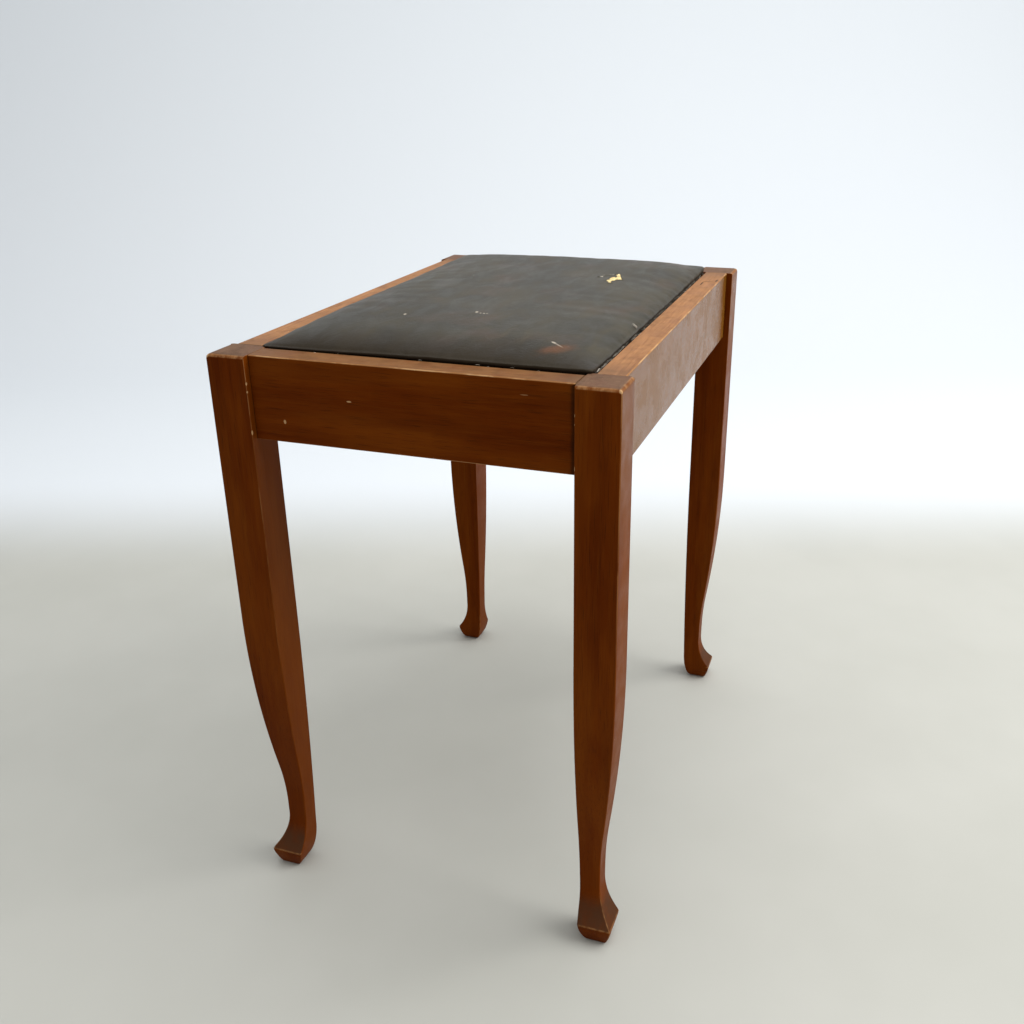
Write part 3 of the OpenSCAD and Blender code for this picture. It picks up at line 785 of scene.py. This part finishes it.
def settle(points, faces, top_count):
    """Blows the cover up a little as cloth pinned at its sides, and returns how far each
    point moved."""
    cloth = link("pad_sim", mesh_from("pad_sim", points, faces))
    group = cloth.vertex_groups.new(name="pin")
    group.add(list(range(top_count, len(points))), 1.0, "REPLACE")
    modifier = cloth.modifiers.new("cloth", "CLOTH")
    for key, value in CLOTH.items():
        setattr(modifier.settings, key, value)
    modifier.settings.effector_weights.gravity = 0
    modifier.point_cache.frame_start = 1
    modifier.point_cache.frame_end = SIM_FRAMES
    for step in range(1, SIM_FRAMES + 1):
        scene.frame_set(step)
    shaped = cloth.evaluated_get(bpy.context.evaluated_depsgraph_get())
    moved = np.array([v.co for v in shaped.data.vertices]) - np.array(points)
    scene.frame_set(1)
    bpy.data.objects.remove(cloth)
    length = np.linalg.norm(moved, axis=1, keepdims=True)
    return moved * np.minimum(1.0, SIM_CAP / np.maximum(length, 1e-9))


def smoothed(values, faces, rounds):
    """The same values averaged with their neighbours, over and over."""
    pairs = {tuple(sorted((f[k], f[(k + 1) % len(f)]))) for f in faces for k in range(len(f))}
    a, b = np.array(sorted(pairs)).T
    count = np.zeros((len(values), 1))
    np.add.at(count, a, 1)
    np.add.at(count, b, 1)
    for _ in range(rounds):
        total = np.zeros_like(values)
        np.add.at(total, a, values[b])
        np.add.at(total, b, values[a])
        values = 0.5 * values + 0.5 * total / count
    return values


# The tear's outline and the slit that runs from it, as places on the seat in millimetres
TEAR = ((62.6, -78.9), (65.2, -80.6), (74.3, -80.2), (79.2, -81.6), (80.6, -84.0), (84.5, -84.4),
        (91.5, -82.6), (96.7, -80.2), (99.0, -82.4), (100.0, -84.9), (94.0, -86.8), (88.4, -88.4),
        (78.7, -92.0), (73.6, -93.6), (71.2, -89.6), (72.6, -87.2), (65.8, -88.0), (61.0, -85.8),
        (51.4, -87.7), (49.8, -84.9), (55.8, -82.5))
SLIT = ((75.0, -67.0), (82.0, -69.2), (88.0, -72.8), (92.5, -77.0), (95.5, -80.5))
TEAR_MIDDLE = Vector((77, -81))
TEAR_REACH = 45


def segment_distance(x, y, a, b):
    ux, uy = b[0] - a[0], b[1] - a[1]
    t = min(1.0, max(0.0, ((x - a[0]) * ux + (y - a[1]) * uy) / (ux * ux + uy * uy)))
    return math.hypot(x - a[0] - t * ux, y - a[1] - t * uy)


def tear_distance(x, y, slit_width=0.7):
    """Millimetres from a place on the seat (in metres) to the tear, less than 0 inside it."""
    x, y = x / MM, y / MM
    inside, away = False, 1e9
    for a, b in zip(TEAR, TEAR[1:] + TEAR[:1]):
        away = min(away, segment_distance(x, y, a, b))
        if (a[1] > y) != (b[1] > y) and x < a[0] + (y - a[1]) * (b[0] - a[0]) / (b[1] - a[1]):
            inside = not inside
    tear = -away if inside else away
    slit = min(segment_distance(x, y, a, b) for a, b in zip(SLIT, SLIT[1:])) - slit_width
    return min(tear, slit)


def ragged(x, y):
    return 0.8 * wobble(x, y, 0.3, 420) + 0.5 * wobble(x, y, 0.7, 1100)


def near_tear(place):
    return (Vector((place.x, place.y)) / MM - TEAR_MIDDLE).length < TEAR_REACH


def make_cover(material):
    """The leathercloth: crowned top, sides pulled down and turned under the seat members."""
    points, faces, edge, unit_edge, top_count = pad_surface()
    points = np.array(points)
    moved = settle(points, faces, top_count)
    folds = smoothed(moved, faces, 5) - smoothed(moved, faces, 60)
    points[:, 2] += 0.35 * folds[:, 2]
    points[:top_count, :2] += 0.3 * folds[:top_count, :2]
    points = [tuple(p) for p in points]
    for inward, height, corner in ((0.4, 0.25, 13.0), (1.4, 0.02, 12.5), (6.0, 0.0, 11.0),
                                   (14.0, 0.0, 9.0), (22.0, 0.0, 7.0), (30.5, 0.0, 5.0)):
        row = outline_row(unit_edge, TOP_INSET - PAD_SWELL - inward * MM, corner * MM,
                          SEAT_BOTTOM - RAIL_TOP + height * MM)
        if inward > 20:
            row = [(x * (1 + 0.004 * wobble(x, y, inward, 55)), y, z) for x, y, z in row]
        edge = add_row(points, faces, edge, row)

    bm = bmesh.new()
    verts = [bm.verts.new(p) for p in points]
    for f in faces:
        bm.faces.new([verts[k] for k in f])
    bmesh.ops.recalc_face_normals(bm, faces=bm.faces)
    bmesh.ops.subdivide_edges(bm, edges=bm.edges, cuts=1, smooth=0.0, use_grid_fill=True)
    creases(bm)
    open_tear(bm)
    mesh = bpy.data.meshes.new("seat_cover_leathercloth")
    bm.to_mesh(mesh)
    bm.free()
    cover = new_piece(mesh, material)
    thicken(cover, COVER_THICK)
    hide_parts("seat_cover")


def creases(bm):
    """Shallow rubbed hollows, fine creases across the seat and puckers where it turns down."""
    for v in bm.verts:
        x, y, z = v.co
        if z < SEAT_BOTTOM + 1.0 * MM:
            continue
        inner = smoothstep(0.0, 24 * MM, min(SEAT_X - abs(x), SEAT_Y - abs(y)))
        side = 1.0 - smoothstep(RAIL_TOP - 2 * MM, RAIL_TOP + 4 * MM, z)
        out = Vector((x / SEAT_X, y / SEAT_Y, 0)).normalized()
        pucker = 0.38 * wobble(x, y, 0.2, 60) + 0.32 * wobble(x, y, 0.5, 170)
        frayed = 0.35 * wobble(x, y, 0.8, 420) + 0.8 * wobble(x, y, 0.4, 95)
        frayed *= smoothstep(0.6 * SEAT_Y, 0.95 * SEAT_Y, -y)
        v.co += out * min(pucker + frayed - 0.25 * side, 1.2) * MM * (1 - inner)
        if z > RAIL_TOP + 0.2 * MM:
            rise = smoothstep(RAIL_TOP, RAIL_TOP + 3 * MM, z)
            sag = 0.50 * wobble(x, y, 0.1, 17)
            crease = 0.06 * noise.ridged_multi_fractal(Vector((x * 16, y * 44, 3.1)), 1.0, 2.1, 3,
                                                       0.9, 2.0)
            pull = 0.30 * wobble(x, y, 0.9, 80) * (1 - inner)
            v.co.z += (sag * inner + pull - crease * (0.35 + 0.65 * inner) + 0.15) * MM * rise


def open_tear(bm):
    """Refines the cover round the tear, cuts the tear out and lifts its rim."""
    def faces_within(reach, roughness):
        middles = [(f, f.calc_center_median()) for f in bm.faces if f.normal.z > 0.3]
        return [f for f, middle in middles if near_tear(middle)
                and tear_distance(*middle[:2]) + roughness * ragged(*middle[:2]) < reach]

    edges = {e for f in faces_within(6, 0) for e in f.edges}
    bmesh.ops.subdivide_edges(bm, edges=list(edges), cuts=3, use_grid_fill=True)
    bmesh.ops.delete(bm, geom=faces_within(0, 1), context="FACES")
    for v in bm.verts:
        if v.co.z > RAIL_TOP and near_tear(v.co):
            x, y = v.co.x, v.co.y
            lip = math.exp(-max(0.0, tear_distance(x, y)) / 1.5)
            v.co.z += lip * (0.45 + 0.6 * wobble(x, y, 0.4, 230)) * MM


def make_stuffing(material):
    """The stuffing under the cover, a little smaller than it all round."""
    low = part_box("stuffing")[0].z
    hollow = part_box("hessian")
    side = 3.4 * MM
    half_x, half_y = SEAT_X - side, SEAT_Y - side
    columns, rows = 59, 39
    points = []
    for ux, uy in unit_grid(columns, rows):
        sink = (4.0 + 0.6 * wobble(ux * half_x, uy * half_y, 0.6, 60)) * MM
        rise = max(0.3 * MM, pad_rise(ux * SEAT_X, uy * SEAT_Y) - sink)
        x, y = to_outline(ux * half_x, uy * half_y, half_x, half_y, SEAT_CORNER)
        points.append((x, y, RAIL_TOP + rise))
    faces, edge = grid_faces(columns, rows), grid_rim(columns, rows)
    shrink_x, shrink_y = (hollow[1].x + 1 * MM) / half_x, (hollow[1].y + 1 * MM) / half_y
    below = [(points[k][0], points[k][1], low) for k in edge]
    edge = add_row(points, faces, edge, below)
    inner = [(x * shrink_x, y * shrink_y, low) for x, y, _ in below]
    edge = add_row(points, faces, edge, inner)
    ceiling = hollow[1].z + 0.1 * MM
    edge = add_row(points, faces, edge, [(x, y, ceiling) for x, y, _ in inner])
    faces.append(tuple(reversed(edge)))
    pad = new_piece(mesh_from("seat_stuffing", points, faces), material)
    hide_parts("stuffing")


def make_clump(material):
    """Loose stuffing, matted into lumps, that fills the tear and stands a little proud of it."""
    step = 0.5 * MM
    x0, x1, y0, y1 = 0.045, 0.104, -0.098, -0.062
    columns, rows = round((x1 - x0) / step) + 1, round((y1 - y0) / step) + 1
    points = []
    for j in range(rows):
        for i in range(columns):
            x, y = x0 + i * step, y0 + j * step
            depth = tear_distance(x, y, 0.2) + 0.8 * ragged(x, y)
            swell = smoothstep(0.9, -1.4, depth)
            lumps = 0.75 * wobble(x, y, 0.2, 300) + 0.55 * wobble(x, y, 0.9, 700)
            lumps += 0.30 * wobble(x, y, 0.4, 1500)
            z = top_height(x, y) + (-2.6 + (3.5 + 0.9 * lumps) * swell) * MM
            points.append((x, y, z))
    mesh = mesh_from("stuffing_clump", points, grid_faces(columns, rows))
    thicken(new_piece(mesh, material), 0.8 * MM)


# ---- Webbing and hessian ----

def strip_profile(node, axis):
    """Places along a CAD strip and the heights of its top there, read from its own points."""
    co = np.array([v.co for v in NODES[node].data.vertices])
    places = np.round(co[:, axis], 5)
    stations = np.unique(places)
    return stations, [co[places == s, 2].max() for s in stations]


def make_webbing(node, axis, number):
    """One strip of jute webbing with ribs and thinner edges, laid along the heights of the CAD
    strip's top.
    """
    low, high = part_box(node)
    stations, heights = strip_profile(node, axis)
    side = 1 - axis
    middle, half_width = (low[side] + high[side]) / 2, (high[side] - low[side]) / 2
    length = high[axis] - low[axis]
    steps, across = round(length / (1.1 * MM)), 22
    thick = 1.35 * MM
    top, bottom = [], []
    for i in range(steps + 1):
        s = low[axis] + length * i / steps
        z_top = float(np.interp(s, stations, heights)) - 0.1 * MM
        for j in range(across + 1):
            t = 2 * j / across - 1
            wave = 0.35 * MM * wobble(s, number, t, 30)
            w = middle + t * (half_width - 0.25 * MM) + wave * abs(t)
            rib = 0.10 * MM * math.sin(2 * math.pi * (s / (2.2 * MM) + 0.25 * (j % 4)))
            thin = 0.35 * MM * abs(t) ** 16
            place = (s, w) if axis == 0 else (w, s)
            top.append((*place, z_top + rib - 0.1 * MM - thin))
            bottom.append((*place, z_top - thick + rib + thin))
    stripe = ([middle - 0.62 * half_width, middle + 0.62 * half_width], 1.6 * MM,
              (0.050, 0.040, 0.035))
    warp, weft = (2850, 2200) if axis == 0 else (2200, 2850)
    material = woven("jute_" + node, (0.43, 0.30, 0.165), (0.10, 0.065, 0.035), warp, weft, 0.0004,
                     axis, stripe)
    mesh = mesh_from(node + "_strip", top + bottom, slab_faces(across + 1, steps + 1))
    bm = bmesh.new()
    bm.from_mesh(mesh)
    bmesh.ops.recalc_face_normals(bm, faces=bm.faces)
    bm.to_mesh(mesh)
    bm.free()
    strip = new_piece(mesh, material)
    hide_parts(node)


def make_hessian():
    """Open jute cloth over the webbing, with a slightly uneven, frayed edge."""
    low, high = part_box("hessian")
    step = 3.5 * MM
    columns, rows = round((high.x - low.x) / step), round((high.y - low.y) / step)
    points = []
    for layer in (high.z, low.z + 0.2 * MM):
        for j in range(rows + 1):
            for i in range(columns + 1):
                x = low.x + (high.x - low.x) * i / columns
                y = low.y + (high.y - low.y) * j / rows
                fray = 1.0 - 0.0045 * abs(wobble(x, y, 1 / 90, 90))
                x, y = to_outline(x, y, high.x, high.y, 8 * MM)
                points.append((x * fray, y * fray, layer - 0.08 * MM * (1 + wobble(x, y, 0, 70))))
    faces = slab_faces(columns + 1, rows + 1)
    material = woven("hessian_cloth", (0.47, 0.34, 0.19), (0.16, 0.10, 0.05), 1500, 1500, 0.0005)
    cloth = new_piece(mesh_from("seat_hessian", points, faces), material)
    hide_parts("hessian")


# ---- Lint in the gap round the seat ----

def fibre(points, faces, spine, radius):
    """Adds one thin square-section thread along a list of places."""
    start = len(points)
    for p in spine:
        for c in range(4):
            turn = math.pi / 2 * c
            points.append((p.x + 0.7 * radius * math.cos(turn), p.y + 0.7 * radius * math.cos(turn),
                           p.z + radius * math.sin(turn)))
    last = start + 4 * (len(spine) - 1)
    for k in range(start, last, 4):
        for c in range(4):
            n = (c + 1) % 4
            faces.append((k + c, k + n, k + n + 4, k + c + 4))
    faces.append((start + 3, start + 2, start + 1, start))
    faces.append((last, last + 1, last + 2, last + 3))


def make_lint(material):
    """Short curled fibres in the gap between the seat and the rails, and one tuft on its edge."""
    rng = random.Random(7)
    points, faces = [], []
    for _ in range(330):
        front = rng.random() < 0.93
        if front:
            x = (1.92 * rng.random() ** 1.5 - 0.97) * SEAT_X
            y = -SEAT_Y - rng.uniform(2.1, 3.1) * MM
        else:
            x, y = -SEAT_X - rng.uniform(2.1, 3.0) * MM, rng.uniform(-0.9, 0.9) * SEAT_Y
        z = RAIL_TOP - rng.uniform(-0.35, 1.6) * MM
        heading, length, bend = rng.uniform(0, 2 * math.pi), rng.uniform(2, 6), rng.uniform(-2, 2)
        spine = []
        for k in range(6):
            spine.append(Vector((x, y, z + 0.45 * MM * math.sin(math.pi * k / 5))))
            along = length / 5 * MM * math.cos(heading + bend * k / 5)
            across = 0.18 * length / 5 * MM * math.sin(heading + bend * k / 5)
            x, y = (x + along, y + across) if front else (x + across, y + along)
        fibre(points, faces, spine, rng.uniform(0.06, 0.15) * MM)
    for _ in range(16):
        base = Vector((-83.5 + rng.uniform(-1.6, 1.6), -148.2 + rng.uniform(-1.0, 1.0), 0)) * MM
        heading = rng.uniform(0, 2 * math.pi)
        spine = []
        for k in range(5):
            turn = heading + 0.3 * k
            place = base + Vector((math.cos(turn), math.sin(turn), 0)) * (0.75 * MM * k)
            lift = (0.7 + 0.5 * math.sin(math.pi * k / 4)) * MM
            place.y = max(place.y, -SEAT_Y)
            spine.append(Vector((place.x, place.y, top_height(place.x, place.y) + lift)))
        fibre(points, faces, spine, 0.14 * MM)
    new_piece(mesh_from("gap_lint", points, faces), material)


# ---- Stage, lights and camera ----

def floor_material(away):
    """Pale grey floor that turns to near-white backdrop behind the bench."""
    g = Graph("stage_floor")
    cloud = g.noise(g.position, 2.2, 4, 0.6)
    behind = g.vector("DOT_PRODUCT", g.position, tuple(away))
    floor = g.mix(g.ramp(cloud, 0.3, 0.7), (0.465, 0.468, 0.430), (0.500, 0.502, 0.465))
    colour = g.mix(g.ramp(behind, 0.50, 0.95), floor, (0.725, 0.765, 0.805))
    g.set(Base_Color=colour, Roughness=0.85, Specular_IOR_Level=0.2)
    return g.material


# The floor's extent towards the camera and away from it, the radius of the curve behind it, the
# height of the backdrop and half the width of them all
STAGE_NEAR, STAGE_FAR, STAGE_CURVE, STAGE_HEIGHT, STAGE_HALF_WIDTH = 6.0, 1.7, 1.2, 6.0, 9.0


def make_stage():
    """A pale floor that curves up into a pale backdrop behind the bench."""
    heading = math.radians(CAMERA_HEADING)
    away = Vector((math.cos(heading), math.sin(heading), 0))
    across = Vector((-away.y, away.x, 0))
    profile = [(-STAGE_NEAR, 0.0), (STAGE_FAR, 0.0)]
    profile += [(STAGE_FAR + STAGE_CURVE * math.sin(a), STAGE_CURVE * (1 - math.cos(a)))
                for a in [math.pi / 2 * k / 16 for k in range(1, 17)]]
    profile.append((STAGE_FAR + STAGE_CURVE, STAGE_HEIGHT))
    points, faces = [], []
    for side in (-STAGE_HALF_WIDTH, STAGE_HALF_WIDTH):
        for run, rise in profile:
            place = away * run + across * side
            points.append((place.x, place.y, FLOOR_Z + rise))
    count = len(profile)
    for k in range(count - 1):
        faces.append((k, k + 1, count + k + 1, count + k))
    stage = link("stage", mesh_from("stage", points, faces))
    smooth(stage.data)
    stage.data.materials.append(floor_material(away))


def make_light(name, place, size, power, colour):
    """An area light aimed at the middle of the bench."""
    data = bpy.data.lights.new(name, "AREA")
    data.shape = "RECTANGLE"
    data.size, data.size_y = size
    data.energy = power
    data.color = colour
    lamp = link(name, data)
    lamp.location = place
    aim = Vector((0.0, 0.0, 0.35)) - Vector(place)
    lamp.rotation_euler = aim.to_track_quat("-Z", "Y").to_euler()


def light_stage():
    world = bpy.data.worlds.new("soft_sky")
    world.use_nodes = True
    background = world.node_tree.nodes["Background"]
    background.inputs["Color"].default_value = (1.0, 0.99, 0.97, 1.0)
    background.inputs["Strength"].default_value = 0.50
    scene.world = world
    make_light("window", (0.6, -2.6, 2.4), (2.4, 2.2), 80, (1.0, 0.985, 0.96))
    make_light("overhead", (0.3, -0.3, 3.3), (3.2, 3.2), 75, (1.0, 1.0, 1.0))
    scene.view_settings.view_transform = "Standard"


# Where the picture is taken from: heading and tilt of the view in degrees, place in metres
CAMERA_PLACE = (-0.9969, -0.3739, 0.7793)
CAMERA_HEADING = 19.54
CAMERA_TILT = -23.01
CAMERA_ROLL = -0.65
CAMERA_LENS = 36.53
CAMERA_SHIFT = (-0.0231, -0.0035)


def make_camera():
    data = bpy.data.cameras.new("camera")
    data.lens = CAMERA_LENS
    data.sensor_width = 36.0
    data.shift_x, data.shift_y = CAMERA_SHIFT
    data.clip_start, data.clip_end = 0.01, 50
    camera = link("camera", data)
    turn = Euler((math.radians(90 + CAMERA_TILT), 0, math.radians(CAMERA_HEADING - 90))).to_matrix()
    roll = Matrix.Rotation(math.radians(CAMERA_ROLL), 3, "Z")
    camera.matrix_world = Matrix.Translation(CAMERA_PLACE) @ (turn @ roll).to_4x4()
    scene.camera = camera


make_camera()
light_stage()
make_stage()
finish_frame()
make_cover(leathercloth())
pale_stuffing = stuffing_stuff()
make_stuffing(pale_stuffing)
make_clump(pale_stuffing)
for number, (name, axis) in enumerate((("long_front", 0), ("long_back", 0), ("cross_1", 1),
                                       ("cross_2", 1), ("cross_3", 1), ("cross_4", 1))):
    make_webbing("webbing_" + name, axis, number)
make_hessian()
make_lint(lint())
